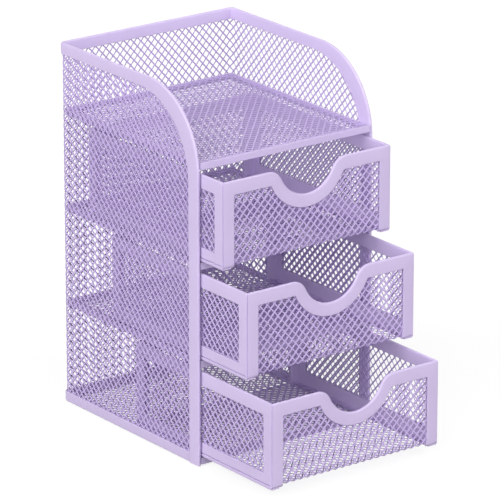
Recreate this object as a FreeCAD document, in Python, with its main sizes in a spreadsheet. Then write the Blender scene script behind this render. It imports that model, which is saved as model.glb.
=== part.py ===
import FreeCAD, Part
import math
import os

import Sketcher

# Desktop mini drawers of folded expanded-metal sheet: an open tray on a casing
# with three drawers. Millimetres, +Z up, the drawers open towards -Y, and the
# origin is the middle of the casing's footprint on the desk.

# Driving dimensions, by sub-part.
SIZES = (
    # casing
    ("casing_width", "125"),
    ("casing_depth", "135"),
    ("casing_height", "221"),
    ("edging_front_width", "9"),
    ("edging_top_width", "7"),
    ("edging_outer_radius", "47"),
    ("edging_inner_radius", "46"),
    ("foot_band_height", "6.4"),
    # folded edgings and the sheet they hold
    ("hem_thickness", "2"),
    ("sheet_thickness", "0.7"),
    ("sheet_tuck", "3"),
    ("corner_bend", "3"),
    ("strand_width", "1.8"),
    # base, shelves and tray floor
    ("base_level", "4.6"),
    ("tier_pitch", "58.8"),
    ("frame_height", "4"),
    ("frame_wall", "1"),
    ("frame_gap", "0.3"),
    # drawers
    ("drawer_side_gap", "0.7"),
    ("drawer_lift", "0.5"),
    ("drawer_head_gap", "2.5"),
    ("drawer_rear_gap", "2.5"),
    ("drawer_bend", "1"),
    ("rim_height", "8.3"),
    ("corner_leg", "8"),
    ("sill_height", "8.7"),
    ("lip_height", "2.2"),
    ("groove_height", "0.5"),
    ("groove_depth", "0.5"),
    ("flange_width", "4"),
    ("flange_thickness", "0.9"),
    ("sheet_fold", "2"),
    ("floor_gap", "0.3"),
    # finger scoop in a drawer's front rim
    ("scoop_radius", "20"),
    ("scoop_rise", "2.5"),
    ("scoop_shoulder", "10"),
    ("scoop_band", "7.8"),
    # how far each drawer stands open
    ("top_pull", "20"),
    ("middle_pull", "42.5"),
    ("bottom_pull", "65.5"),
    # a cut's overrun past the face it goes through
    ("overrun", "1"),
)

# Places worked out from the driving dimensions.
PLACES = (
    # casing, seen from the front
    ("half_width", "Sizes.casing_width / 2"),
    ("half_depth", "Sizes.casing_depth / 2"),
    ("hem_inner_x", "half_width - Sizes.hem_thickness"),
    ("hem_inner_y", "half_depth - Sizes.hem_thickness"),
    ("bend_start_x", "half_width - Sizes.corner_bend"),
    ("bend_start_y", "half_depth - Sizes.corner_bend"),
    ("bend_inner_radius", "Sizes.corner_bend - Sizes.hem_thickness"),
    # sheet in the middle of its edging
    ("sheet_inset", "(Sizes.hem_thickness - Sizes.sheet_thickness) / 2"),
    ("sheet_outer_x", "half_width - sheet_inset"),
    ("sheet_inner_x", "sheet_outer_x - Sizes.sheet_thickness"),
    ("sheet_outer_y", "half_depth - sheet_inset"),
    ("sheet_inner_y", "sheet_outer_y - Sizes.sheet_thickness"),
    ("sheet_bend_outer", "Sizes.corner_bend - sheet_inset"),
    ("sheet_bend_inner", "sheet_bend_outer - Sizes.sheet_thickness"),
    # side edging and the sheet tucked into it
    ("edging_inner_y", "Sizes.edging_front_width - half_depth"),
    ("edging_inner_z", "Sizes.casing_height - Sizes.edging_top_width"),
    ("outer_arc_y", "Sizes.edging_outer_radius - half_depth"),
    ("outer_arc_z", "Sizes.casing_height - Sizes.edging_outer_radius"),
    ("inner_arc_y", "edging_inner_y + Sizes.edging_inner_radius"),
    ("inner_arc_z", "edging_inner_z - Sizes.edging_inner_radius"),
    ("tuck_front_y", "edging_inner_y - Sizes.sheet_tuck"),
    ("tuck_top_z", "edging_inner_z + Sizes.sheet_tuck"),
    ("tuck_foot_z", "Sizes.foot_band_height - Sizes.sheet_tuck"),
    ("tuck_radius", "Sizes.edging_inner_radius + Sizes.sheet_tuck"),
    # frames of the base, the shelves and the tray
    ("frame_half_width", "hem_inner_x - Sizes.frame_gap"),
    ("frame_rear_y", "hem_inner_y - Sizes.frame_gap"),
    ("frame_length", "half_depth + frame_rear_y"),
    ("floor_half_width", "frame_half_width - Sizes.frame_wall"),
    ("floor_front_y", "Sizes.frame_wall - half_depth"),
    ("floor_length", "frame_length - 2 * Sizes.frame_wall"),
    ("lower_level", "Sizes.base_level + Sizes.tier_pitch"),
    ("upper_level", "lower_level + Sizes.tier_pitch"),
    ("tray_level", "upper_level + Sizes.tier_pitch"),
    # drawer, from the middle of its front's lower edge
    ("half_drawer", "hem_inner_x - Sizes.drawer_side_gap"),
    ("drawer_depth", "half_depth + hem_inner_y - Sizes.drawer_rear_gap"),
    ("drawer_height", "Sizes.tier_pitch - Sizes.frame_height - Sizes.drawer_lift"
                      " - Sizes.drawer_head_gap"),
    ("drawer_inner_x", "half_drawer - Sizes.hem_thickness"),
    ("drawer_inner_rear", "drawer_depth - Sizes.hem_thickness"),
    ("drawer_bend_x", "half_drawer - Sizes.drawer_bend"),
    ("drawer_bend_rear", "drawer_depth - Sizes.drawer_bend"),
    ("rim_foot", "drawer_height - Sizes.rim_height"),
    ("leg_end_x", "half_drawer - Sizes.corner_leg"),
    ("panel_half_width", "leg_end_x + Sizes.sheet_tuck"),
    ("panel_top", "rim_foot + Sizes.sheet_tuck"),
    ("panel_face", "sheet_inset + Sizes.sheet_thickness"),
    ("fold_rear", "sheet_inset + Sizes.sheet_fold"),
    ("fold_top", "Sizes.flange_thickness + Sizes.sheet_fold"),
    ("fold_inner_radius", "Sizes.sheet_fold - Sizes.sheet_thickness"),
    ("toe_foot", "fold_top - fold_rear"),
    ("floor_top", "Sizes.flange_thickness + Sizes.sheet_thickness"),
    ("floor_half", "drawer_inner_x - Sizes.floor_gap"),
    ("floor_run", "drawer_depth - 2 * fold_rear"),
    ("side_panel_front", "Sizes.corner_leg - Sizes.sheet_tuck"),
    ("side_panel_run", "drawer_depth - 2 * side_panel_front"),
    ("side_panel_foot", "Sizes.sill_height - Sizes.sheet_tuck"),
    ("side_panel_rise", "panel_top - side_panel_foot"),
    ("side_panel_x", "half_drawer - panel_face"),
    ("flange_x", "drawer_inner_x - Sizes.flange_width"),
    ("groove_top", "Sizes.lip_height + Sizes.groove_height"),
    ("groove_x", "half_drawer - Sizes.groove_depth"),
    ("sill_length", "drawer_depth - 2 * Sizes.hem_thickness"),
    # scoop: its circle's centre lies above the rim, and a shoulder arc on
    # each side leads it into the rim's upper edge
    ("scoop_reach", "Sizes.scoop_radius + Sizes.scoop_shoulder"),
    ("scoop_drop", "Sizes.scoop_rise + Sizes.scoop_shoulder"),
    ("shoulder_x", "sqrt(scoop_reach * scoop_reach - scoop_drop * scoop_drop)"),
    ("tangent_x", "shoulder_x * Sizes.scoop_radius / scoop_reach"),
    ("scoop_centre_z", "drawer_height + Sizes.scoop_rise"),
    ("tangent_z", "scoop_centre_z - scoop_drop * Sizes.scoop_radius / scoop_reach"),
    ("rim_overrun", "drawer_height + Sizes.overrun"),
    ("band_radius", "Sizes.scoop_radius + Sizes.scoop_band"),
    ("band_drop", "scoop_centre_z - rim_foot"),
    ("band_x", "sqrt(band_radius * band_radius - band_drop * band_drop)"),
    ("panel_scoop_radius", "band_radius - Sizes.sheet_tuck"),
    ("panel_drop", "scoop_centre_z - panel_top"),
    ("panel_scoop_x", "sqrt(panel_scoop_radius * panel_scoop_radius"
                      " - panel_drop * panel_drop)"),
    ("panel_overrun", "panel_top + Sizes.overrun"),
    # drawers in the casing
    ("top_drawer_y", "-half_depth - Sizes.top_pull"),
    ("top_drawer_z", "upper_level + Sizes.drawer_lift"),
    ("middle_drawer_y", "-half_depth - Sizes.middle_pull"),
    ("middle_drawer_z", "lower_level + Sizes.drawer_lift"),
    ("bottom_drawer_y", "-half_depth - Sizes.bottom_pull"),
    ("bottom_drawer_z", "Sizes.base_level + Sizes.drawer_lift"),
)

# Diamond cells across and up each kind of panel.
COUNTS = (
    ("casing_side_across", "3"),
    ("casing_side_up", "5"),
    ("casing_back_across", "3"),
    ("casing_back_up", "5"),
    ("shelf_across", "3"),
    ("shelf_up", "3"),
    ("drawer_front_across", "3"),
    ("drawer_front_up", "2"),
    ("drawer_side_across", "3"),
    ("drawer_side_up", "2"),
    ("drawer_back_across", "3"),
    ("drawer_back_up", "2"),
    ("drawer_floor_across", "2"),
    ("drawer_floor_up", "3"),
)
ARC_CHORDS = 6
LEAST_CELL_SHARE = 0.08

DRAWERS = ("top_drawer", "middle_drawer", "bottom_drawer")
LEVELS = (
    ("base", "Sizes.base_level"),
    ("lower_shelf", "Places.lower_level"),
    ("upper_shelf", "Places.upper_level"),
    ("tray", "Places.tray_level"),
)

SIZE_NAMES = {name for name, value in SIZES}
NUMBERS = {}


def vector(x, y, z):
    return FreeCAD.Vector(x, y, z)


def fill_sheet(doc, title, rows):
    """A sheet with each row's name in column A and its value, aliased, in B."""
    sheet = doc.addObject("Spreadsheet::Sheet", title)
    for row, (name, value) in enumerate(rows, start=1):
        sheet.set(f"A{row}", name)
        sheet.set(f"B{row}", value)
        sheet.setAlias(f"B{row}", name)
    doc.recompute()
    for name, value in rows:
        NUMBERS[name] = float(sheet.get(name))


def make_sheets(doc):
    fill_sheet(doc, "Sizes", SIZES)
    fill_sheet(doc, "Counts", COUNTS)
    fill_sheet(doc, "Places", [(name, "=" + formula) for name, formula in PLACES])


def number(name):
    """The value of a named size or place; a leading minus turns its sign."""
    if name.startswith("-"):
        return -NUMBERS[name[1:]]
    return NUMBERS[name]


def cell(name):
    """The expression that reads a named size or place from its sheet."""
    if name.startswith("-"):
        return "-" + cell(name[1:])
    return ("Sizes." if name in SIZE_NAMES else "Places.") + name


def bind(item, **properties):
    """Binds properties, written with __ for a dot, to named sizes or places."""
    for key, name in properties.items():
        item.setExpression(key.replace("__", "."), cell(name))


# Sketches

def arc_between(start, end, radius, turn):
    """The minor arc from start to end, turning left (1) or right (-1)."""
    chord = end - start
    rise = math.sqrt(max(radius**2 - (chord.Length / 2)**2, 0))
    normal = vector(-chord.y, chord.x, 0).normalize()
    centre = start + chord * 0.5 + normal * rise * turn
    first, last = (start, end) if turn > 0 else (end, start)
    angles = [math.atan2(p.y - centre.y, p.x - centre.x) for p in (first, last)]
    if angles[1] < angles[0]:
        angles[1] += 2 * math.pi
    return Part.ArcOfCircle(Part.Circle(centre, vector(0, 0, 1), radius), *angles)


def new_sketch(body, role, title):
    sketch = body.newObject("Sketcher::SketchObject", title)
    plane = next(f for f in body.Origin.OriginFeatures if f.Role == role)
    sketch.AttachmentSupport = [(plane, "")]
    sketch.MapMode = "FlatFace"
    return sketch


def add_outline(sketch, corners, arcs=None):
    """A closed outline through corners of named places, None for zero.

    arcs gives, for the edge that leaves a corner, its radius and its turn.
    """
    arcs = arcs or {}
    points = [vector(*(number(n) if n else 0 for n in corner), 0) for corner in corners]
    first = sketch.GeometryCount
    count = len(points)
    edges, starts, ends = [], [], []
    for i, point in enumerate(points):
        after = points[(i + 1) % count]
        turn = arcs[i][1] if i in arcs else 1
        if i in arcs:
            edges.append(arc_between(point, after, number(arcs[i][0]), turn))
        else:
            edges.append(Part.LineSegment(point, after))
        starts.append((first + i, 1 if turn > 0 else 2))
        ends.append((first + i, 2 if turn > 0 else 1))
    sketch.addGeometry(edges, False)
    rules = [Sketcher.Constraint("Coincident", *ends[i], *starts[(i + 1) % count])
             for i in range(count)]
    bound = {}
    for (edge, end), corner in zip(starts, corners):
        for kind, axis, name in zip(("DistanceX", "DistanceY"), (-2, -1), corner):
            if name:
                bound[len(rules)] = name
                rules.append(Sketcher.Constraint(kind, -1, 1, edge, end, number(name)))
            else:
                rules.append(Sketcher.Constraint("PointOnObject", edge, end, axis))
    for i, (radius, turn) in arcs.items():
        bound[len(rules)] = radius
        rules.append(Sketcher.Constraint("Radius", first + i, number(radius)))
    offset = sketch.ConstraintCount
    sketch.addConstraint(rules)
    for i, name in bound.items():
        sketch.setExpression(f"Constraints[{offset + i}]", cell(name))


def new_pad(body, sketch, title, length, backwards=False, both_ways=False):
    pad = body.newObject("PartDesign::Pad", title)
    pad.Profile = sketch
    pad.Reversed = backwards
    pad.Midplane = both_ways
    pad.setExpression("Length", length)
    sketch.Visibility = False
    return pad


def new_pocket(body, sketch, title, length):
    pocket = body.newObject("PartDesign::Pocket", title)
    pocket.Profile = sketch
    pocket.setExpression("Length", length)
    return pocket


# Joined and cut pieces

def new_box(doc, title, length, width, height):
    box = doc.addObject("Part::Box", title)
    for side, formula in (("Length", length), ("Width", width), ("Height", height)):
        box.setExpression(side, formula)
    return box


def place(item, x=None, y=None, z=None):
    for axis, formula in (("x", x), ("y", y), ("z", z)):
        if formula:
            item.setExpression(f"Placement.Base.{axis}", formula)


def cut(doc, title, base, tools):
    """base less the tools, which are fused first when there are several."""
    if len(tools) > 1:
        tool = doc.addObject("Part::MultiFuse", title + "_tools")
        tool.Shapes = tools
    else:
        tool = tools[0]
    result = doc.addObject("Part::Cut", title)
    result.Base = base
    result.Tool = tool
    return result


# Diamond cells

def clip(polygon, edge_start, edge_end):
    """The part of a polygon left of the line from edge_start to edge_end."""
    (ax, ay), (bx, by) = edge_start, edge_end

    def side(point):
        return (bx - ax) * (point[1] - ay) - (by - ay) * (point[0] - ax)

    kept = []
    for here, after in zip(polygon, polygon[1:] + polygon[:1]):
        here_side, after_side = side(here), side(after)
        if here_side >= 0:
            kept.append(here)
        if here_side * after_side < 0:
            share = here_side / (here_side - after_side)
            kept.append(tuple(p + (q - p) * share for p, q in zip(here, after)))
    return kept


def area(polygon):
    return sum(p[0] * q[1] - q[0] * p[1]
               for p, q in zip(polygon, polygon[1:] + polygon[:1])) / 2


def diamonds(region, kind, whole=False, trim=None):
    """The diamond gaps of a panel, clipped to its convex region's outline.

    The cells fill the region's box a whole number of times each way, and the
    strands between the gaps have one width. whole leaves out the cells that
    the box would halve, and trim may cut a gap back further.
    """
    across, up = (round(number(f"{kind}_{way}")) for way in ("across", "up"))
    lows = [min(p[i] for p in region) for i in (0, 1)]
    highs = [max(p[i] for p in region) for i in (0, 1)]
    half_u = (highs[0] - lows[0]) / across / 2
    half_v = (highs[1] - lows[1]) / up / 2
    strand = number("strand_width") * math.hypot(half_u, half_v)
    shrink = 1 - strand / (2 * half_u * half_v)
    least = LEAST_CELL_SHARE * 2 * half_u * half_v
    edge = 1 if whole else 0
    gaps = []
    for i in range(edge, 2 * across + 1 - edge):
        for j in range(edge, 2 * up + 1 - edge):
            if (i + j) % 2:
                continue
            u, v = lows[0] + i * half_u, lows[1] + j * half_v
            gap = [(u + half_u * shrink, v), (u, v + half_v * shrink),
                   (u - half_u * shrink, v), (u, v - half_v * shrink)]
            for start, end in zip(region, region[1:] + region[:1]):
                gap = clip(gap, start, end)
            gap = trim(gap) if trim else gap
            if area(gap) > least:
                gaps.append(gap)
    return gaps


def cell_cutters(doc, title, gaps, to_space, depth):
    """Prisms that cut the gaps: to_space puts a gap's point in space."""
    prisms = []
    for gap in gaps:
        points = [vector(*to_space(*point)) for point in gap]
        prisms.append(Part.Face(Part.makePolygon(points + points[:1])).extrude(depth))
    feature = doc.addObject("Part::Feature", title)
    feature.Shape = Part.makeCompound(prisms)
    return feature


def box_region(low_u, high_u, low_v, high_v):
    return [(low_u, low_v), (high_u, low_v), (high_u, high_v), (low_u, high_v)]


# Casing

def side_edging(doc, side, from_x):
    body = doc.addObject("PartDesign::Body", f"side_edging_{side}_body")
    sketch = new_sketch(body, "YZ_Plane", f"side_edging_{side}_outline")
    add_outline(sketch, [
        ("-half_depth", None),
        ("edging_inner_y", None),
        ("edging_inner_y", "inner_arc_z"),
        ("inner_arc_y", "edging_inner_z"),
        ("bend_start_y", "edging_inner_z"),
        ("bend_start_y", "casing_height"),
        ("outer_arc_y", "casing_height"),
        ("-half_depth", "outer_arc_z"),
    ], {2: ("edging_inner_radius", -1), 6: ("edging_outer_radius", 1)})
    new_pad(body, sketch, f"side_edging_{side}_pad", "Sizes.hem_thickness")
    bind(body, Placement__Base__x=from_x)
    return body


def side_blank(doc, side, from_x):
    """A casing side's sheet before its cells, with its edges tucked in."""
    body = doc.addObject("PartDesign::Body", f"side_sheet_{side}")
    sketch = new_sketch(body, "YZ_Plane", f"side_sheet_{side}_outline")
    add_outline(sketch, [
        ("tuck_front_y", "tuck_foot_z"),
        ("bend_start_y", "tuck_foot_z"),
        ("bend_start_y", "tuck_top_z"),
        ("inner_arc_y", "tuck_top_z"),
        ("tuck_front_y", "inner_arc_z"),
    ], {3: ("tuck_radius", 1)})
    new_pad(body, sketch, f"side_sheet_{side}_pad", "Sizes.sheet_thickness")
    bind(body, Placement__Base__x=from_x)
    return body


def side_region():
    """The open part of a casing side, with chords inside its curved corner."""
    low_y, high_y = number("edging_inner_y"), number("bend_start_y")
    low_z, high_z = number("foot_band_height"), number("edging_inner_z")
    radius = number("edging_inner_radius")
    corner = []
    for i in range(ARC_CHORDS + 1):
        angle = math.pi / 2 * (1 + i / ARC_CHORDS)
        corner.append((number("inner_arc_y") + radius * math.cos(angle),
                       number("inner_arc_z") + radius * math.sin(angle)))
    return [(low_y, low_z), (high_y, low_z), (high_y, high_z)] + corner


def side_mesh(doc, side, blank, start):
    gaps = diamonds(side_region(), "casing_side")
    depth = number("sheet_thickness") + 2 * number("overrun")
    cutters = cell_cutters(doc, f"side_cells_{side}", gaps,
                           lambda y, z: (start - number("overrun"), y, z),
                           vector(depth, 0, 0))
    return cut(doc, f"side_mesh_{side}", blank, [cutters])


def back_profile(sketch, outer_x, outer_y, outer_radius, inner_x, inner_y, inner_radius):
    """Plan of a strip across the back that turns both rear corners."""
    add_outline(sketch, [
        (outer_x, "bend_start_y"),
        ("bend_start_x", outer_y),
        ("-bend_start_x", outer_y),
        ("-" + outer_x, "bend_start_y"),
        ("-" + inner_x, "bend_start_y"),
        ("-bend_start_x", inner_y),
        ("bend_start_x", inner_y),
        (inner_x, "bend_start_y"),
    ], {0: (outer_radius, 1), 2: (outer_radius, 1),
        4: (inner_radius, -1), 6: (inner_radius, -1)})


def back_blank(doc):
    body = doc.addObject("PartDesign::Body", "back_sheet")
    sketch = new_sketch(body, "XY_Plane", "back_sheet_plan")
    back_profile(sketch, "sheet_outer_x", "sheet_outer_y", "sheet_bend_outer",
                 "sheet_inner_x", "sheet_inner_y", "sheet_bend_inner")
    new_pad(body, sketch, "back_sheet_pad", "Places.tuck_top_z - Places.tuck_foot_z")
    bind(body, Placement__Base__z="tuck_foot_z")
    return body


def back_mesh(doc, blank):
    half = number("bend_start_x")
    region = box_region(-half, half, number("foot_band_height"), number("edging_inner_z"))
    start = number("sheet_outer_y") + number("overrun")
    depth = number("sheet_thickness") + 2 * number("overrun")
    cutters = cell_cutters(doc, "back_cells", diamonds(region, "casing_back"),
                           lambda x, z: (x, start, z), vector(0, -depth, 0))
    return cut(doc, "back_mesh", blank, [cutters])


def back_edging(doc, blank):
    body = doc.addObject("PartDesign::Body", "back_edging_body")
    sketch = new_sketch(body, "XY_Plane", "back_edging_plan")
    back_profile(sketch, "half_width", "half_depth", "corner_bend",
                 "hem_inner_x", "hem_inner_y", "bend_inner_radius")
    new_pad(body, sketch, "back_edging_pad", "Sizes.edging_top_width")
    bind(body, Placement__Base__z="edging_inner_z")
    return cut(doc, "back_edging", body, [blank])


def foot_band(doc, blanks):
    """The band round the foot of the sides and back."""
    body = doc.addObject("PartDesign::Body", "foot_band_body")
    sketch = new_sketch(body, "XY_Plane", "foot_band_plan")
    add_outline(sketch, [
        ("half_width", "edging_inner_y"),
        ("half_width", "bend_start_y"),
        ("bend_start_x", "half_depth"),
        ("-bend_start_x", "half_depth"),
        ("-half_width", "bend_start_y"),
        ("-half_width", "edging_inner_y"),
        ("-hem_inner_x", "edging_inner_y"),
        ("-hem_inner_x", "bend_start_y"),
        ("-bend_start_x", "hem_inner_y"),
        ("bend_start_x", "hem_inner_y"),
        ("hem_inner_x", "bend_start_y"),
        ("hem_inner_x", "edging_inner_y"),
    ], {1: ("corner_bend", 1), 3: ("corner_bend", 1),
        7: ("bend_inner_radius", -1), 9: ("bend_inner_radius", -1)})
    new_pad(body, sketch, "foot_band_pad", "Sizes.foot_band_height")
    return cut(doc, "foot_band", body, blanks)


def shelf_frame(doc, name, level):
    """A frame of upright strips whose front strip is the rail seen in front."""
    outer = new_box(doc, name + "_outer", "2 * Places.frame_half_width",
                    "Places.frame_length", "Sizes.frame_height")
    place(outer, "-Places.frame_half_width", "-Places.half_depth")
    inner = new_box(doc, name + "_inner", "2 * Places.floor_half_width",
                    "Places.floor_length", "Sizes.frame_height + 2 * Sizes.overrun")
    place(inner, "-Places.floor_half_width", "Places.floor_front_y", "-Sizes.overrun")
    frame = cut(doc, name + "_frame", outer, [inner])
    place(frame, z=level + " - Sizes.frame_height")
    return frame


def shelf_mesh(doc, name, level):
    sheet = new_box(doc, name + "_sheet", "2 * Places.floor_half_width",
                    "Places.floor_length", "Sizes.sheet_thickness")
    place(sheet, "-Places.floor_half_width", "Places.floor_front_y")
    half, front = number("floor_half_width"), number("floor_front_y")
    margin = number("strand_width")
    region = box_region(margin - half, half - margin, front + margin,
                        front + number("floor_length") - margin)
    depth = number("sheet_thickness") + 2 * number("overrun")
    cutters = cell_cutters(doc, name + "_cells", diamonds(region, "shelf", whole=True),
                           lambda x, y: (x, y, -number("overrun")),
                           vector(0, 0, depth))
    mesh = cut(doc, name + "_mesh", sheet, [cutters])
    place(mesh, z=level + " - Sizes.sheet_thickness")
    return mesh


def casing(doc):
    left = side_blank(doc, "left", "-sheet_outer_x")
    right = side_blank(doc, "right", "sheet_inner_x")
    back = back_blank(doc)
    nodes = [
        side_mesh(doc, "left", left, number("-sheet_outer_x")),
        side_mesh(doc, "right", right, number("sheet_inner_x")),
        back_mesh(doc, back),
        cut(doc, "side_edging_left", side_edging(doc, "left", "-half_width"), [left]),
        cut(doc, "side_edging_right", side_edging(doc, "right", "hem_inner_x"), [right]),
        back_edging(doc, back),
        foot_band(doc, [left, right, back]),
    ]
    for name, level in LEVELS:
        nodes += [shelf_frame(doc, name, level), shelf_mesh(doc, name, level)]
    return nodes


# Drawers, each built from the middle of its front's lower edge

def end_panel_blank(doc, name, scooped):
    """A front or back sheet: upright, folded under at its foot."""
    body = doc.addObject("PartDesign::Body", name)
    upright = new_sketch(body, "YZ_Plane", name + "_upright")
    add_outline(upright, [
        ("sheet_inset", "panel_top"),
        ("sheet_inset", "fold_top"),
        ("panel_face", "fold_top"),
        ("panel_face", "panel_top"),
    ])
    new_pad(body, upright, name + "_pad", "2 * Places.panel_half_width", both_ways=True)
    fold = new_sketch(body, "YZ_Plane", name + "_fold")
    add_outline(fold, [
        ("sheet_inset", "fold_top"),
        ("fold_rear", "flange_thickness"),
        ("fold_rear", "floor_top"),
        ("panel_face", "fold_top"),
    ], {0: ("sheet_fold", 1), 2: ("fold_inner_radius", -1)})
    new_pad(body, fold, name + "_fold_pad", "2 * Places.leg_end_x", both_ways=True)
    if scooped:
        scoop = new_sketch(body, "XZ_Plane", name + "_scoop")
        add_outline(scoop, [
            ("-panel_scoop_x", "panel_top"),
            ("panel_scoop_x", "panel_top"),
            ("panel_scoop_x", "panel_overrun"),
            ("-panel_scoop_x", "panel_overrun"),
        ], {0: ("panel_scoop_radius", 1)})
        new_pocket(body, scoop, name + "_scoop_cut", "Sizes.hem_thickness")
    return body


def turn_to_rear(item):
    """Turns a front piece about the upright through the drawer's middle."""
    item.Placement = FreeCAD.Placement(vector(0, 0, 0), FreeCAD.Rotation(vector(0, 0, 1), 180))
    bind(item, Placement__Base__y="drawer_depth")
    return item


def side_panel_blank(doc, name, from_x):
    sheet = new_box(doc, name, "Sizes.sheet_thickness", "Places.side_panel_run",
                    "Places.side_panel_rise")
    place(sheet, from_x, "Places.side_panel_front", "Places.side_panel_foot")
    return sheet


def floor_blank(doc, name):
    sheet = new_box(doc, name, "2 * Places.floor_half", "Places.floor_run",
                    "Sizes.sheet_thickness")
    place(sheet, "-Places.floor_half", "Places.fold_rear", "Sizes.flange_thickness")
    return sheet


def rim_plan(sketch):
    """Plan of the rim: a rounded rectangle outside and a plain one inside."""
    add_outline(sketch, [
        ("-drawer_bend_x", None),
        ("drawer_bend_x", None),
        ("half_drawer", "drawer_bend"),
        ("half_drawer", "drawer_bend_rear"),
        ("drawer_bend_x", "drawer_depth"),
        ("-drawer_bend_x", "drawer_depth"),
        ("-half_drawer", "drawer_bend_rear"),
        ("-half_drawer", "drawer_bend"),
    ], {i: ("drawer_bend", 1) for i in (1, 3, 5, 7)})
    add_outline(sketch, [
        ("-drawer_inner_x", "hem_thickness"),
        ("drawer_inner_x", "hem_thickness"),
        ("drawer_inner_x", "drawer_inner_rear"),
        ("-drawer_inner_x", "drawer_inner_rear"),
    ])


def rim_body(doc, name):
    """The hem round the top of a drawer, which dips in front for a finger."""
    body = doc.addObject("PartDesign::Body", name)
    plan = new_sketch(body, "XY_Plane", name + "_plan")
    rim_plan(plan)
    bind(plan, AttachmentOffset__Base__z="rim_foot")
    new_pad(body, plan, name + "_ring", "Sizes.rim_height")
    dip = new_sketch(body, "XZ_Plane", name + "_dip")
    add_outline(dip, [
        ("-band_x", "rim_foot"),
        ("band_x", "rim_foot"),
    ], {0: ("band_radius", 1)})
    new_pad(body, dip, name + "_dip_band", "Sizes.hem_thickness", backwards=True)
    scoop = new_sketch(body, "XZ_Plane", name + "_scoop")
    add_outline(scoop, [
        ("-shoulder_x", "drawer_height"),
        ("-tangent_x", "tangent_z"),
        ("tangent_x", "tangent_z"),
        ("shoulder_x", "drawer_height"),
        ("shoulder_x", "rim_overrun"),
        ("-shoulder_x", "rim_overrun"),
    ], {0: ("scoop_shoulder", -1), 1: ("scoop_radius", 1), 2: ("scoop_shoulder", -1)})
    new_pocket(body, scoop, name + "_scoop_cut", "Sizes.hem_thickness")
    return body


def corner_body(doc, name, sign):
    """An upright angle strip on the left (-) or right front corner."""
    body = doc.addObject("PartDesign::Body", name)
    sketch = new_sketch(body, "XY_Plane", name + "_plan")
    turn = 1 if sign == "-" else -1
    add_outline(sketch, [
        (sign + "half_drawer", "corner_leg"),
        (sign + "half_drawer", "drawer_bend"),
        (sign + "drawer_bend_x", None),
        (sign + "leg_end_x", None),
        (sign + "leg_end_x", "hem_thickness"),
        (sign + "drawer_inner_x", "hem_thickness"),
        (sign + "drawer_inner_x", "corner_leg"),
    ], {1: ("drawer_bend", turn)})
    new_pad(body, sketch, name + "_pad", "Places.rim_foot - Places.toe_foot")
    bind(sketch, AttachmentOffset__Base__z="toe_foot")
    return body


def toe_body(doc, name):
    """Side view of a corner strip, whose foot folds under round the sheet's fold."""
    body = doc.addObject("PartDesign::Body", name)
    sketch = new_sketch(body, "YZ_Plane", name + "_outline")
    add_outline(sketch, [
        (None, "rim_foot"),
        (None, "fold_top"),
        ("fold_rear", "toe_foot"),
        ("corner_leg", "toe_foot"),
        ("corner_leg", "rim_foot"),
    ], {1: ("fold_rear", 1)})
    new_pad(body, sketch, name + "_pad", "2 * Places.half_drawer", both_ways=True)
    return body


def corner_strip(doc, name, sign, rear, panels):
    """A corner strip, cut out below for the sill and slotted for its sheets."""
    bent = doc.addObject("Part::Common", name + "_bent")
    bent.Base = corner_body(doc, name + "_body", sign)
    bent.Tool = toe_body(doc, name + "_toe")
    from_x = "-Places.half_drawer" if sign == "-" else "Places.drawer_inner_x"
    notch = new_box(doc, name + "_notch", "Sizes.hem_thickness", "Sizes.corner_leg",
                    "Sizes.sill_height")
    place(notch, from_x, "Sizes.hem_thickness")
    strip = cut(doc, name + "_notched", bent, [notch])
    if rear:
        turn_to_rear(strip)
    return cut(doc, name, strip, panels)


def sill(doc, name, sign, panel):
    """The band along the foot of a side, with its groove and floor flange."""
    body = doc.addObject("PartDesign::Body", name + "_body")
    sketch = new_sketch(body, "XZ_Plane", name + "_profile")
    add_outline(sketch, [
        (sign + "half_drawer", None),
        (sign + "flange_x", None),
        (sign + "flange_x", "flange_thickness"),
        (sign + "drawer_inner_x", "flange_thickness"),
        (sign + "drawer_inner_x", "sill_height"),
        (sign + "half_drawer", "sill_height"),
        (sign + "half_drawer", "groove_top"),
        (sign + "groove_x", "groove_top"),
        (sign + "groove_x", "lip_height"),
        (sign + "half_drawer", "lip_height"),
    ])
    new_pad(body, sketch, name + "_pad", "Places.sill_length", backwards=True)
    bind(body, Placement__Base__y="hem_thickness")
    return cut(doc, name, body, [panel])


def trim_at_scoop(gap):
    """Cuts a gap of the front along the tangent of the scoop's band beside it."""
    if not gap:
        return gap
    u, v = (sum(point[i] for point in gap) / len(gap) for i in (0, 1))
    rise = v - number("scoop_centre_z")
    share = number("band_radius") / math.hypot(u, rise)
    foot = (u * share, number("scoop_centre_z") + rise * share)
    return clip(gap, foot, (foot[0] + rise, foot[1] - u))


def end_mesh(doc, name, blank, kind, trim=None, rear=False):
    half = number("leg_end_x")
    foot = number("fold_top") + number("strand_width")
    region = box_region(-half, half, foot, number("rim_foot"))
    start = number("drawer_inner_rear") if rear else 0
    gaps = diamonds(region, kind, whole=rear, trim=trim)
    cutters = cell_cutters(doc, name + "_cells", gaps, lambda x, z: (x, start, z),
                           vector(0, number("hem_thickness"), 0))
    return cut(doc, name, blank, [cutters])


def side_panel_mesh(doc, name, blank, from_x):
    region = box_region(number("corner_leg"), number("drawer_depth") - number("corner_leg"),
                        number("sill_height"), number("rim_foot"))
    depth = number("sheet_thickness") + 2 * number("overrun")
    cutters = cell_cutters(doc, name + "_cells", diamonds(region, "drawer_side"),
                           lambda y, z: (from_x - number("overrun"), y, z),
                           vector(depth, 0, 0))
    return cut(doc, name, blank, [cutters])


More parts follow.
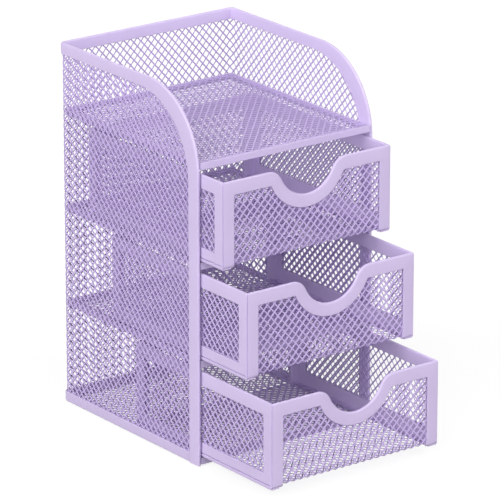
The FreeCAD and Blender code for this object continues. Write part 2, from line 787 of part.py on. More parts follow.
def floor_mesh(doc, name, blank):
    half = number("flange_x")
    front = number("fold_rear") + number("strand_width")
    rear = number("drawer_depth") - front
    start = number("flange_thickness") - number("overrun")
    depth = number("sheet_thickness") + 2 * number("overrun")
    region = box_region(-half, half, front, rear)
    gaps = diamonds(region, "drawer_floor", whole=True)
    cutters = cell_cutters(doc, name + "_cells", gaps, lambda x, y: (x, y, start),
                           vector(0, 0, depth))
    return cut(doc, name, blank, [cutters])


def drawer(doc, name):
    front = end_panel_blank(doc, name + "_front_sheet", scooped=True)
    back = turn_to_rear(end_panel_blank(doc, name + "_back_sheet", scooped=False))
    left = side_panel_blank(doc, name + "_left_sheet",
                            "-Places.side_panel_x - Sizes.sheet_thickness")
    right = side_panel_blank(doc, name + "_right_sheet", "Places.side_panel_x")
    panels = [front, back, left, right]
    left_x = -number("side_panel_x") - number("sheet_thickness")
    nodes = [
        end_mesh(doc, name + "_front_mesh", front, "drawer_front", trim_at_scoop),
        end_mesh(doc, name + "_back_mesh", back, "drawer_back", rear=True),
        side_panel_mesh(doc, name + "_left_mesh", left, left_x),
        side_panel_mesh(doc, name + "_right_mesh", right, number("side_panel_x")),
        floor_mesh(doc, name + "_floor_mesh", floor_blank(doc, name + "_floor_sheet")),
        cut(doc, name + "_rim", rim_body(doc, name + "_rim_body"), panels),
        sill(doc, name + "_left_sill", "-", left),
        sill(doc, name + "_right_sill", "", right),
        corner_strip(doc, name + "_front_left_corner", "-", False, [front, left]),
        corner_strip(doc, name + "_front_right_corner", "", False, [front, right]),
        corner_strip(doc, name + "_rear_right_corner", "-", True, [back, right]),
        corner_strip(doc, name + "_rear_left_corner", "", True, [back, left]),
    ]
    for node in nodes:
        place(node, y=f"Places.{name}_y", z=f"Places.{name}_z")
    return nodes


# Checks and files

def check(doc, nodes):
    """Stops the build when an object failed or a sub-part has no sound shape."""
    for item in doc.Objects:
        bad = {"Invalid", "Error"} & set(item.State)
        if bad:
            raise RuntimeError(f"{item.Label} is {sorted(bad)}")
    for node in nodes:
        shape = node.Shape
        if shape.isNull() or not shape.isValid() or len(shape.Solids) != 1:
            raise RuntimeError(f"{node.Label} has no single valid solid")


def main():
    doc = FreeCAD.newDocument("desktop_mini_drawers")
    make_sheets(doc)
    nodes = casing(doc)
    for name in DRAWERS:
        nodes += drawer(doc, name)
    doc.recompute()
    check(doc, nodes)
    os.makedirs("parts", exist_ok=True)
    for node in nodes:
        node.Label = node.Name
        node.Shape.exportStep(f"parts/{node.Label}.step")
    print(f"{len(nodes)} sub-parts written")


main()
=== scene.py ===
"""Desktop mini drawers of painted expanded mesh and folded bands.

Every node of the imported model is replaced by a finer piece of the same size: mesh with the
photograph's cells, hems with a rounded fold and open lips, and strips with a bent corner.
"""
import math

import bmesh
import bpy
from mathutils import Matrix, Vector


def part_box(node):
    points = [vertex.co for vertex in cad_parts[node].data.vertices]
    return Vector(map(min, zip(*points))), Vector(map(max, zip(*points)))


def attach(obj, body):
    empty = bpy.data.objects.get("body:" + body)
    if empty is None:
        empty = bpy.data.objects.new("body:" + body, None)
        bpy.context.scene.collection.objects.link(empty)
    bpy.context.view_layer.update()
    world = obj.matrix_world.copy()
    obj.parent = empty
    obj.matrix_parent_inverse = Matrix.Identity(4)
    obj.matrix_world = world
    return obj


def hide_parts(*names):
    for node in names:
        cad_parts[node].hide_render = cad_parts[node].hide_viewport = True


MM = 0.001
UP = Vector((0, 0, 1))

# Casing, in metres as all that follows.
HALF_WIDTH = 62.5 * MM
HALF_DEPTH = 67.5 * MM
CASING_HEIGHT = 221 * MM
FRONT_BAND = 9 * MM
TOP_BAND = 7 * MM
FOOT_BAND = 6.4 * MM
OUTER_RADIUS = 47 * MM
INNER_RADIUS = 46 * MM
CORNER_BEND = 3 * MM
HEM = 2 * MM

# The casing's unrolled sheet, in its middle plane: a side, a rear bend and the back.
WALL_RADIUS = CORNER_BEND - HEM / 2
WALL_SIDE = 2 * HALF_DEPTH - CORNER_BEND
WALL_TURN = WALL_RADIUS * math.pi / 2
WALL_BACK = 2 * (HALF_WIDTH - CORNER_BEND)
WALL_LENGTH = 2 * (WALL_SIDE + WALL_TURN) + WALL_BACK
BEND_MIDDLE = WALL_SIDE + WALL_TURN / 2

# Shelves.
SHELF_HALF_WIDTH = 60.2 * MM
SHELF_REAR = 65.2 * MM
SHELF_WALL = 1 * MM
SHELF_HEIGHT = 4 * MM
LEDGE_WIDTH = 3 * MM
LEDGE_THICKNESS = 0.6 * MM

# Drawers, from the middle of the front's lower edge.
HALF_DRAWER = 59.8 * MM
DRAWER_DEPTH = 130.5 * MM
DRAWER_HEIGHT = 51.8 * MM
DRAWER_BEND = 1 * MM
RIM_HEIGHT = 8.3 * MM
CORNER_LEG = 8 * MM
SILL_HEIGHT = 8.7 * MM
LIP_HEIGHT = 2.2 * MM
LIP_ROUND = 0.9 * MM
GROOVE = 0.5 * MM
GROOVE_DEPTH = 1 * MM
FLANGE_WIDTH = 4 * MM
FLANGE_THICKNESS = 0.9 * MM
TOE_RADIUS = 2.65 * MM
TOE_FOOT = 0.25 * MM
SCOOP_RADIUS = 20 * MM
SCOOP_RISE = 2.5 * MM
SCOOP_SHOULDER = 10 * MM
SCOOP_BAND = 7.8 * MM

# A drawer's bent sheet, and its unrolled lengths: an upright end, a bend and the floor.
SHEET_INSET = HEM / 2
SHEET_BEND = 1.9 * MM
SHEET_FLOOR = 1.5 * MM
SHEET_UPRIGHT = DRAWER_HEIGHT - SHEET_FLOOR - SHEET_BEND
SHEET_TURN = SHEET_BEND * math.pi / 2
SHEET_RUN = DRAWER_DEPTH - 2 * (SHEET_INSET + SHEET_BEND)
SHEET_LENGTH = 2 * (SHEET_UPRIGHT + SHEET_TURN) + SHEET_RUN

# Folded bands: the slot that holds the mesh, and their edges.
SLOT = 0.8 * MM
SLOT_FLOOR = 1.2 * MM
LIP_CHAMFER = 0.2 * MM
FLUSH_CHAMFER = 0.01 * MM
SEAM_DEPTH = 0.6 * MM

# Expanded mesh: its cells, its strands and how far it reaches into the bands at least.
CELL_WIDTH = 5.0 * MM
CELL_HEIGHT = 5.4 * MM
STRAND_WIDTH = 0.75 * MM
STRAND_THICKNESS = 0.34 * MM
STRAND_LEAN = 0.25 * MM
SHELF_LEAN = 0.15 * MM
LEAST_TUCK = 2.8 * MM

# Steps of an upright bend, a fold's half turn, a toe, the scoop and the casing's round corner.
BEND_STEPS = 6
FOLD_STEPS = 8
TOE_STEPS = 6
SHOULDER_STEPS = 10
SCOOP_STEPS = 28
CORNER_STEPS = 24

# Points closer than WELD become one, and edges sharper than CREASE_ANGLE show as creases.
WELD = 0.0001 * MM
CREASE_ANGLE = math.radians(32)

DRAWERS = ("top_drawer", "middle_drawer", "bottom_drawer")
LEVELS = ("base", "lower_shelf", "upper_shelf", "tray")

# The camera that was fitted to the photograph, whose frame is square.
CAMERA_YAW = math.radians(-36.94)
CAMERA_PITCH = math.radians(18.82)
CAMERA_DISTANCE = 2.682
CAMERA_TARGET = Vector((0, 0, 0.110))
CAMERA_OFFSET = (0.0199, -0.0100)
SENSOR = 36.0
FOCAL_PIXELS = 4611
FRAME_PIXELS = 500
CLIP_END = 100

# Powder coat: its colours, the grain of its orange peel, its mottling and its gloss. The mesh's
# colour is the band's paint darkened as painted shade.
BAND_COLOR = (0.62, 0.52, 0.775)
# Painted shade: the mesh's colour is the band's lavender darkened, standing in for the shade
# that falls in and behind the mesh; the real paint is one colour.
MESH_SHADED_COLOR = (0.52, 0.41, 0.71)
BAND_GRAIN = 1500
MESH_GRAIN = 2500
PEEL_DETAIL = 2
PEEL_STRENGTH = 0.12
PEEL_DEPTH = 0.05 * MM
CLOUD_SCALE = 60
CLOUD_DETAIL = 3
CLOUD_DARKER = 0.96
CLOUD_LIGHTER = 1.04
LEAST_ROUGHNESS = 0.40
MOST_ROUGHNESS = 0.50
SPECULAR = 0.35
COAT_WEIGHT = 0.05
COAT_ROUGHNESS = 0.3

# Studio: the sky's strength, and each sun's direction and strength.
SKY = 0.03
SUNS = (
    ("left_sun", (-0.88, -0.22, 0.42), 3.45),
    ("front_sun", (0.20, -0.88, 0.42), 2.25),
    ("rear_sun", (0.65, 0.60, 0.47), 1.1),
)
SUN_ANGLE = math.radians(75)
FLOOR_SIZE = 8
FLOOR_DROP = 0.5 * MM
FLOOR_COLOR = (0.20, 0.20, 0.20, 1)
FLOOR_ROUGHNESS = 0.8
FLOOR_GLOW = 0.85


# Meshes

def finish_mesh(name, verts, faces):
    """An object with outward faces, smooth but for its creases."""
    mesh = bpy.data.meshes.new(name)
    mesh.from_pydata(verts, [], faces)
    bm = bmesh.new()
    bm.from_mesh(mesh)
    bmesh.ops.remove_doubles(bm, verts=bm.verts, dist=WELD)
    bmesh.ops.recalc_face_normals(bm, faces=bm.faces)
    bm.to_mesh(mesh)
    bm.free()
    mesh.shade_smooth()
    mesh.set_sharp_from_angle(angle=CREASE_ANGLE)
    piece = bpy.data.objects.new(name, mesh)
    bpy.context.scene.collection.objects.link(piece)
    return piece


def loft(rings, closed=False):
    """Vertices and faces of a skin over rings of equal length, capped unless closed."""
    size = len(rings[0])
    verts = [point for ring in rings for point in ring]
    spans = len(rings) if closed else len(rings) - 1
    faces = []
    for k in range(spans):
        here, after = k * size, (k + 1) % len(rings) * size
        for i in range(size):
            j = (i + 1) % size
            faces.append((here + i, here + j, after + j, after + i))
    if not closed:
        faces.append(tuple(range(size)))
        faces.append(tuple(range(len(verts) - size, len(verts))))
    return verts, faces


def join_skins(*skins):
    """One list of vertices and one of faces from several skins."""
    verts, faces = [], []
    for skin_verts, skin_faces in skins:
        base = len(verts)
        verts += skin_verts
        faces += [tuple(base + i for i in face) for face in skin_faces]
    return verts, faces


def arc(centre, radius, first, last, steps):
    """Points of an arc in a plane, angles in degrees."""
    points = []
    for k in range(steps + 1):
        angle = math.radians(first + (last - first) * k / steps)
        points.append((centre[0] + radius * math.cos(angle),
                       centre[1] + radius * math.sin(angle)))
    return points


def seamed_bend(centre, first, last):
    """A drawer corner's outer bend, with the seam where two bands meet in its middle."""
    points = arc(centre, DRAWER_BEND, first, last, BEND_STEPS)
    middle = BEND_STEPS // 2
    points[middle] = arc(centre, DRAWER_BEND - SEAM_DEPTH, first, last, BEND_STEPS)[middle]
    return points


# Expanded mesh

def tucked(length, cell):
    """Half cells that cover a length and tuck in at both ends, and where they start."""
    half = cell / 2
    count = math.ceil((length + 2 * LEAST_TUCK) / half)
    return count, (length - count * half) / 2


def diamond_mesh(surface, starts, counts, lean, keep=None, cell=(CELL_WIDTH, CELL_HEIGHT)):
    """A closed skin of strands round diamond holes on a surface.

    surface gives a point and its normal from two lengths. The lattice of half cells
    begins at starts and has counts of them each way. Expanding leaves each strand
    twisted: lean gives, from the second length, how far a hole's far corner stands off
    the sheet on the normal's side and its near corner on the other. keep tells which
    holes are made, by their centres.
    """
    half_u, half_v = cell[0] / 2, cell[1] / 2
    shrink = 1 - STRAND_WIDTH * math.hypot(half_u, half_v) / (2 * half_u * half_v)
    verts, faces, knots, borders = [], [], {}, {}

    def both_sides(point, normal, rise=0.0):
        index = len(verts)
        verts.extend((point + normal * (rise + STRAND_THICKNESS / 2),
                      point + normal * (rise - STRAND_THICKNESS / 2)))
        return index

    def knot(i, j):
        if (i, j) not in knots:
            knots[i, j] = both_sides(*surface(starts[0] + i * half_u, starts[1] + j * half_v))
        return knots[i, j]

    for i in range(1, counts[0]):
        for j in range(1, counts[1]):
            u, v = starts[0] + i * half_u, starts[1] + j * half_v
            if (i + j) % 2 == 0 or (keep and not keep(u, v)):
                continue
            outer = [knot(*at) for at in ((i + 1, j), (i, j + 1), (i - 1, j), (i, j - 1))]
            inner = []
            for side_u, side_v in ((1, 0), (0, 1), (-1, 0), (0, -1)):
                at = surface(u + side_u * half_u * shrink, v + side_v * half_v * shrink)
                inner.append(both_sides(*at, lean(v) * side_v))
            for k in range(4):
                a, b = outer[k], outer[(k + 1) % 4]
                c, d = inner[(k + 1) % 4], inner[k]
                faces += [(a, b, c, d), (b + 1, a + 1, d + 1, c + 1), (d, c, c + 1, d + 1)]
                if not borders.pop((b, a), None):
                    borders[a, b] = True
    faces += [(b, a, a + 1, b + 1) for a, b in borders]
    return verts, faces


def even_lean(amount):
    """The same lean all over a panel."""
    return lambda v: amount


def trim_to_box(piece, low, high):
    """Shears a flat mesh off square at its four sides and closes the cut strands."""
    bm = bmesh.new()
    bm.from_mesh(piece.data)
    for axis in (0, 1):
        for sign, edge in ((-1, low[axis]), (1, high[axis])):
            at, normal = Vector((0, 0, 0)), Vector((0, 0, 0))
            at[axis], normal[axis] = edge, sign
            cut = bmesh.ops.bisect_plane(
                bm, geom=bm.verts[:] + bm.edges[:] + bm.faces[:], dist=WELD,
                plane_co=at, plane_no=normal, clear_outer=True)
            edges = [e for e in cut["geom_cut"] if isinstance(e, bmesh.types.BMEdge)]
            bmesh.ops.edgeloop_fill(bm, edges=edges)
    bmesh.ops.recalc_face_normals(bm, faces=bm.faces)
    bm.to_mesh(piece.data)
    bm.free()
    piece.data.set_sharp_from_angle(angle=CREASE_ANGLE)


# Folded bands

def hem_section(width, chamfer):
    """Outline of a folded band: from its crest, and off its middle plane."""
    half = HEM / 2
    fold = [(half * (1 - math.cos(a)), half * math.sin(a))
            for a in (math.pi * (0.5 - k / FOLD_STEPS) for k in range(FOLD_STEPS + 1))]
    back = width - chamfer
    floor = min(SLOT_FLOOR, width / 2)
    return [(back, half), *fold, (back, -half), (width, chamfer - half),
            (width, -SLOT / 2), (floor, -SLOT / 2), (floor, SLOT / 2),
            (width, SLOT / 2), (width, half - chamfer)]


def hem(stations, closed=False):
    """A band folded over the sheet's edge: a station is its crest, lip, normal and chamfer."""
    rings = []
    for crest, lip, normal, chamfer in stations:
        along = (lip - crest).normalized()
        rings.append([crest + along * a + normal * b
                      for a, b in hem_section((lip - crest).length, chamfer)])
    return loft(rings, closed)


def angle_section():
    """Plan of a corner strip: outer faces on the axes, both legs slotted for sheet."""
    end, wall = CORNER_LEG, (HEM - SLOT) / 2
    slot_end = HEM + wall
    front = [(end - LIP_CHAMFER, 0), (end, LIP_CHAMFER), (end, wall), (slot_end, wall),
             (slot_end, HEM - wall), (end, HEM - wall), (end, HEM - LIP_CHAMFER),
             (end - LIP_CHAMFER, HEM)]
    side = [(v, u) for u, v in reversed(front)]
    return [*seamed_bend((DRAWER_BEND, DRAWER_BEND), 180, 270), *front, (HEM, HEM), *side]


def toe_section(front):
    """Plan of a corner strip beside the sill, its face no further out than front."""
    end, beside = CORNER_LEG, GROOVE_DEPTH + LIP_CHAMFER
    plan = [*seamed_bend((DRAWER_BEND, DRAWER_BEND), 180, 270),
            (end - LIP_CHAMFER, 0), (end, LIP_CHAMFER), (end, HEM - LIP_CHAMFER),
            (end - LIP_CHAMFER, HEM), (beside, HEM), (beside, DRAWER_BEND)]
    return [(u, max(v, front)) for u, v in plan]


# Casing

def wall_surface(s, z):
    """The casing's sheet unrolled: s runs from the left front edge round the back."""
    x, y = HALF_WIDTH - HEM / 2, HALF_DEPTH - HEM / 2
    bend_x, bend_y = HALF_WIDTH - CORNER_BEND, HALF_DEPTH - CORNER_BEND
    if s <= WALL_SIDE:
        return Vector((-x, s - HALF_DEPTH, z)), Vector((-1, 0, 0))
    s -= WALL_SIDE
    if s <= WALL_TURN:
        angle = s / WALL_RADIUS
        normal = Vector((-math.cos(angle), math.sin(angle), 0))
        return Vector((-bend_x, bend_y, z)) + normal * WALL_RADIUS, normal
    s -= WALL_TURN
    if s <= WALL_BACK:
        return Vector((s - bend_x, y, z)), Vector((0, 1, 0))
    s -= WALL_BACK
    if s <= WALL_TURN:
        angle = s / WALL_RADIUS
        normal = Vector((math.sin(angle), math.cos(angle), 0))
        return Vector((bend_x, bend_y, z)) + normal * WALL_RADIUS, normal
    return Vector((x, bend_y - (s - WALL_TURN), z)), Vector((1, 0, 0))


def inside_corner(s, z):
    """Whether a hole shows under the rounded top front corners."""
    centre = (FRONT_BAND + INNER_RADIUS, CASING_HEIGHT - TOP_BAND - INNER_RADIUS)
    from_front = min(s, WALL_LENGTH - s)
    du, dv = centre[0] - from_front, z - centre[1]
    if du < 0 or dv < 0:
        return True
    return math.hypot(du, dv) < INNER_RADIUS + CELL_WIDTH / 2


def wall_mesh():
    """The casing's mesh, whose columns of knots lie alike on both sides of each bend."""
    between = WALL_LENGTH - 2 * BEND_MIDDLE
    columns_between = round(2 * between / CELL_WIDTH)
    half_cell = between / columns_between
    # The half more puts a bend's middle midway between two columns.
    before = math.ceil((BEND_MIDDLE - FRONT_BAND + LEAST_TUCK) / half_cell) + 0.5
    rows, foot = tucked(CASING_HEIGHT - TOP_BAND - FOOT_BAND, CELL_HEIGHT)
    return diamond_mesh(wall_surface, (BEND_MIDDLE - before * half_cell, FOOT_BAND + foot),
                        (columns_between + round(2 * before), rows), even_lean(STRAND_LEAN),
                        inside_corner, (2 * half_cell, CELL_HEIGHT))


def side_stations(sign):
    """Crest and lip of a side edging, from its foot over the corner to the rear."""
    front, top = -HALF_DEPTH, CASING_HEIGHT
    lip_front, lip_top = front + FRONT_BAND, top - TOP_BAND
    outer = arc((front + OUTER_RADIUS, top - OUTER_RADIUS), OUTER_RADIUS, 180, 90, CORNER_STEPS)
    inner = arc((lip_front + INNER_RADIUS, lip_top - INNER_RADIUS), INNER_RADIUS,
                180, 90, CORNER_STEPS)
    rear = HALF_DEPTH - CORNER_BEND
    crest = [(front, 0.0), *outer, (rear, top)]
    lip = [(lip_front, 0.0), *inner, (rear, lip_top)]
    x, normal = sign * (HALF_WIDTH - HEM / 2), Vector((sign, 0, 0))
    return [(Vector((x, *a)), Vector((x, *b)), normal, LIP_CHAMFER)
            for a, b in zip(crest, lip)]


def rear_stations(crest_z, lip_z, front=None):
    """Crest and lip of a band that turns both rear corners, from left to right.

    It runs along both sides too, from front, where that is given.
    """
    plan = []
    for sign, first, last in ((-1, 180, 90), (1, 90, 0)):
        centre = Vector((sign * (HALF_WIDTH - CORNER_BEND), HALF_DEPTH - CORNER_BEND, 0))
        for x, y in arc((0, 0), 1, first, last, BEND_STEPS):
            normal = Vector((x, y, 0))
            plan.append((centre + normal * WALL_RADIUS, normal))
    if front is not None:
        x = HALF_WIDTH - HEM / 2
        plan = [(Vector((-x, front, 0)), Vector((-1, 0, 0))), *plan,
                (Vector((x, front, 0)), Vector((1, 0, 0)))]
    return [(at + UP * crest_z, at + UP * lip_z, normal, LIP_CHAMFER) for at, normal in plan]


def shelf_rail(level):
    """A shelf's frame: upright strips with a ledge that carries the mesh floor."""
    wall, edge = SHELF_WALL, LIP_CHAMFER
    ledge_top = -2 * SHELF_LEAN - STRAND_THICKNESS
    section = [(0, -edge), (edge, 0), (wall - edge, 0), (wall, -edge),
               (wall, ledge_top), (wall + LEDGE_WIDTH, ledge_top),
               (wall + LEDGE_WIDTH, ledge_top - LEDGE_THICKNESS),
               (wall, ledge_top - LEDGE_THICKNESS), (wall, edge - SHELF_HEIGHT),
               (wall - edge, -SHELF_HEIGHT), (edge, -SHELF_HEIGHT), (0, edge - SHELF_HEIGHT)]
    rings = []
    corners = ((-1, -HALF_DEPTH, 1), (1, -HALF_DEPTH, 1), (1, SHELF_REAR, -1),
               (-1, SHELF_REAR, -1))
    for sign, y, inward in corners:
        rings.append([Vector((sign * (SHELF_HALF_WIDTH - u), y + inward * u, level + v))
                      for u, v in section])
    return loft(rings, closed=True)


def shelf_floor(level):
    """A shelf's mesh, flush with the frame's top and still to be trimmed."""
    width = 2 * (SHELF_HALF_WIDTH - SHELF_WALL)
    front = -HALF_DEPTH + SHELF_WALL
    depth = SHELF_REAR - SHELF_WALL - front
    middle = level - SHELF_LEAN - STRAND_THICKNESS / 2
    columns, left = tucked(width, CELL_WIDTH)
    rows, near = tucked(depth, CELL_HEIGHT)
    return diamond_mesh(lambda u, v: (Vector((u, v, middle)), UP),
                        (left - width / 2, near + front), (columns, rows),
                        even_lean(-SHELF_LEAN))


# Drawers, from the middle of the front's lower edge

def sheet_surface(x, s):
    """A drawer's sheet unrolled: s runs down the front, along the floor and up the back."""
    front, rear = SHEET_INSET, DRAWER_DEPTH - SHEET_INSET
    bend_z = SHEET_FLOOR + SHEET_BEND
    if s <= SHEET_UPRIGHT:
        return Vector((x, front, DRAWER_HEIGHT - s)), Vector((0, -1, 0))
    s -= SHEET_UPRIGHT
    if s <= SHEET_TURN:
        angle = s / SHEET_BEND
        normal = Vector((0, -math.cos(angle), -math.sin(angle)))
        return Vector((x, front + SHEET_BEND, bend_z)) + normal * SHEET_BEND, normal
    s -= SHEET_TURN
    if s <= SHEET_RUN:
        return Vector((x, front + SHEET_BEND + s, SHEET_FLOOR)), -UP
    s -= SHEET_RUN
    if s <= SHEET_TURN:
        angle = s / SHEET_BEND
        normal = Vector((0, math.sin(angle), -math.cos(angle)))
        return Vector((x, rear - SHEET_BEND, bend_z)) + normal * SHEET_BEND, normal
    return Vector((x, rear, bend_z + s - SHEET_TURN)), Vector((0, 1, 0))


def sheet_lean(s):
    """The strands' lean, which turns over along the floor, so both ends shed alike."""
    share = (s - SHEET_UPRIGHT - SHEET_TURN) / SHEET_RUN
    return STRAND_LEAN * (2 * min(max(share, 0), 1) - 1)


def below_scoop(x, s):
    """Whether a hole of the front shows under the scoop's band."""
    hidden = SCOOP_RADIUS + SCOOP_BAND - CELL_HEIGHT / 2
    return s > DRAWER_HEIGHT or math.hypot(x, s + SCOOP_RISE) > hidden


def drawer_sheet():
    """A drawer's front, floor and back as one bent sheet between the corner strips."""
    columns, left = tucked(2 * (HALF_DRAWER - CORNER_LEG), CELL_WIDTH)
    rows, top = tucked(SHEET_LENGTH - 2 * RIM_HEIGHT, CELL_HEIGHT)
    return diamond_mesh(sheet_surface, (left - HALF_DRAWER + CORNER_LEG, RIM_HEIGHT + top),
                        (columns, rows), sheet_lean, below_scoop)


def side_panel(sign):
    """A drawer's side, with one row more, which sets its holes off from the casing's."""
    x = sign * (HALF_DRAWER - HEM / 2)
    normal = Vector((sign, 0, 0))
    columns, front = tucked(DRAWER_DEPTH - 2 * CORNER_LEG, CELL_WIDTH)
    rows, foot = tucked(DRAWER_HEIGHT - RIM_HEIGHT - SILL_HEIGHT, CELL_HEIGHT)
    rows += 1
    foot -= CELL_HEIGHT / 4
    return diamond_mesh(lambda y, z: (Vector((x, y, z)), normal),
                        (CORNER_LEG + front, SILL_HEIGHT + foot), (columns, rows),
                        even_lean(STRAND_LEAN))


def scoop_lines():
    """Crest and lip of the rim's front from the middle outwards, as x and z.

    The crest leaves the scoop through a shoulder's arc. Over that arc the lip runs straight
    to the corner where the scoop's band meets the level band, and from there level.
    """
    top, foot = DRAWER_HEIGHT, DRAWER_HEIGHT - RIM_HEIGHT
    centre_z = top + SCOOP_RISE
    reach = SCOOP_RADIUS + SCOOP_SHOULDER
    drop = SCOOP_RISE + SCOOP_SHOULDER
    shoulder_x = math.sqrt(reach**2 - drop**2)
    tangent = -math.degrees(math.asin(drop / reach))
    crest = arc((0, centre_z), SCOOP_RADIUS, -90, tangent, SCOOP_STEPS // 2)
    lip = arc((0, centre_z), SCOOP_RADIUS + SCOOP_BAND, -90, tangent, SCOOP_STEPS // 2)
    shoulder = arc((shoulder_x, top - SCOOP_SHOULDER), SCOOP_SHOULDER, 180 + tangent, 90,
                   SHOULDER_STEPS)[1:]
    start = Vector(lip[-1])
    corner = Vector((math.sqrt((SCOOP_RADIUS + SCOOP_BAND)**2 - (centre_z - foot)**2), foot))
    end = Vector((shoulder_x, foot))
    for k in range(1, SHOULDER_STEPS + 1):
        share = k / SHOULDER_STEPS
        way = (start.lerp(corner, share * 2) if share < 0.5
               else corner.lerp(end, share * 2 - 1))
        lip.append(tuple(way))
    return crest + shoulder, lip


def rim_station(at, normal, chamfer):
    """A station of the rim where it is level, from its place and normal in plan."""
    return (Vector((*at, DRAWER_HEIGHT)), Vector((*at, DRAWER_HEIGHT - RIM_HEIGHT)),
            Vector((*normal, 0)), chamfer)


def rim_corner(side_x, side_y, turn):
    """The rim's stations past one corner, where its normal turns from an angle of turn.

    Its lip is chamfered over the mesh and flush with the corner strip.
    """
    corner = Vector((side_x * HALF_DRAWER, (1 + side_y) * DRAWER_DEPTH / 2))

    def inward(x, y):
        return corner - Vector((side_x * x, side_y * y))

    leg_ends = [((CORNER_LEG + LIP_CHAMFER, HEM / 2), LIP_CHAMFER),
                ((CORNER_LEG, HEM / 2), FLUSH_CHAMFER)]
    swapped = [((y, x), chamfer) for (x, y), chamfer in leg_ends]
    before, after = (swapped, leg_ends) if side_x == side_y else (leg_ends, swapped)
    first, last = arc((0, 0), 1, turn, turn + 90, 1)
    stations = [rim_station(inward(*at), first, chamfer) for at, chamfer in before]
    inner = inward(HEM, HEM)
    for outer in seamed_bend(inward(DRAWER_BEND, DRAWER_BEND), turn, turn + 90):
        outer = Vector(outer)
        stations.append(rim_station((outer + inner) / 2, (outer - inner) / HEM, FLUSH_CHAMFER))
    stations += [rim_station(inward(*at), last, chamfer) for at, chamfer in reversed(after)]
    return stations


def rim_stations():
    """The rim's hem, round the drawer from the front's middle."""
    crest, lip = scoop_lines()
    front = Vector((0, -1, 0))
    scoop = [(Vector((a[0], HEM / 2, a[1])), Vector((b[0], HEM / 2, b[1])), front, LIP_CHAMFER)
             for a, b in zip(crest, lip)]
    mirrored = [(Vector((-a.x, a.y, a.z)), Vector((-b.x, b.y, b.z)), front, LIP_CHAMFER)
                for a, b, _, _ in scoop[:0:-1]]
    corners = [station for corner in ((1, -1, 270), (1, 1, 0), (-1, 1, 90), (-1, -1, 180))
               for station in rim_corner(*corner)]
    return scoop + corners + mirrored


def corner_strip(sign, rear):
    """An upright strip: its full section above the sill, and a toe that folds under."""
    def place(section, z):
        points = []
        for u, v in section:
            y = DRAWER_DEPTH - v if rear else v
            points.append(Vector((sign * (HALF_DRAWER - u), y, z)))
        return points

    toe = [place(toe_section(0), SILL_HEIGHT)]
    last = math.degrees(math.acos(1 - (HEM - LIP_CHAMFER) / TOE_RADIUS))
    for y, z in arc((TOE_RADIUS, TOE_FOOT + TOE_RADIUS), TOE_RADIUS, 180, 180 + last, TOE_STEPS):
        toe.append(place(toe_section(y), z))
    upper = angle_section()
    return join_skins(
        loft([place(upper, SILL_HEIGHT), place(upper, DRAWER_HEIGHT - RIM_HEIGHT)]),
        loft(toe))


def sill(sign):
    """The band along a side's foot: slotted above, grooved, with a rounded lip."""
    wall, edge = (HEM - SLOT) / 2, LIP_CHAMFER
    top = SILL_HEIGHT
    slot_foot = LIP_HEIGHT + GROOVE + wall
    section = [
        (0, LIP_HEIGHT + GROOVE + edge), (0, top - edge), (edge, top), (wall, top),
        (wall, slot_foot), (HEM - wall, slot_foot),
        (HEM - wall, top), (HEM - edge, top), (HEM, top - edge), (HEM, FLANGE_THICKNESS),
        (HEM + FLANGE_WIDTH, FLANGE_THICKNESS), (HEM + FLANGE_WIDTH, 0),
        *arc((LIP_ROUND, LIP_ROUND), LIP_ROUND, 270, 180, BEND_STEPS),
        (0, LIP_HEIGHT - edge), (edge, LIP_HEIGHT), (GROOVE_DEPTH, LIP_HEIGHT),
        (GROOVE_DEPTH, LIP_HEIGHT + GROOVE), (edge, LIP_HEIGHT + GROOVE),
    ]
    rings = [[Vector((sign * (HALF_DRAWER - u), y, v)) for u, v in section]
             for y in (DRAWER_BEND, DRAWER_DEPTH - DRAWER_BEND)]
    return loft(rings)


# Paint

def paint(name, color, grain):
    """Satin powder coat: faint mottling, an uneven gloss and a fine orange peel."""
    material = bpy.data.materials.new(name)
    material.use_nodes = True
    nodes, links = material.node_tree.nodes, material.node_tree.links
    shader = nodes["Principled BSDF"]
    where = nodes.new("ShaderNodeTexCoord")

    def noise(scale, detail):
        node = nodes.new("ShaderNodeTexNoise")
        node.inputs["Scale"].default_value = scale
        node.inputs["Detail"].default_value = detail
        links.new(where.outputs["Object"], node.inputs["Vector"])
        return node

    def spread(source, low, high):
        node = nodes.new("ShaderNodeMapRange")
        node.inputs["To Min"].default_value = low
        node.inputs["To Max"].default_value = high
        links.new(source.outputs["Fac"], node.inputs["Value"])
        return node

    cloud, peel = noise(CLOUD_SCALE, CLOUD_DETAIL), noise(grain, PEEL_DETAIL)
    shade = nodes.new("ShaderNodeMix")
    shade.data_type = "RGBA"
    shade.inputs["A"].default_value = (*(c * CLOUD_DARKER for c in color), 1)
    shade.inputs["B"].default_value = (*(c * CLOUD_LIGHTER for c in color), 1)
    links.new(cloud.outputs["Fac"], shade.inputs["Factor"])
    links.new(shade.outputs["Result"], shader.inputs["Base Color"])
    gloss = spread(cloud, LEAST_ROUGHNESS, MOST_ROUGHNESS)
    links.new(gloss.outputs["Result"], shader.inputs["Roughness"])
    bump = nodes.new("ShaderNodeBump")
    bump.inputs["Strength"].default_value = PEEL_STRENGTH
    bump.inputs["Distance"].default_value = PEEL_DEPTH
    links.new(peel.outputs["Fac"], bump.inputs["Height"])
    links.new(bump.outputs["Normal"], shader.inputs["Normal"])
    shader.inputs["Specular IOR Level"].default_value = SPECULAR
    shader.inputs["Coat Weight"].default_value = COAT_WEIGHT
    shader.inputs["Coat Roughness"].default_value = COAT_ROUGHNESS
    return material


# Stage

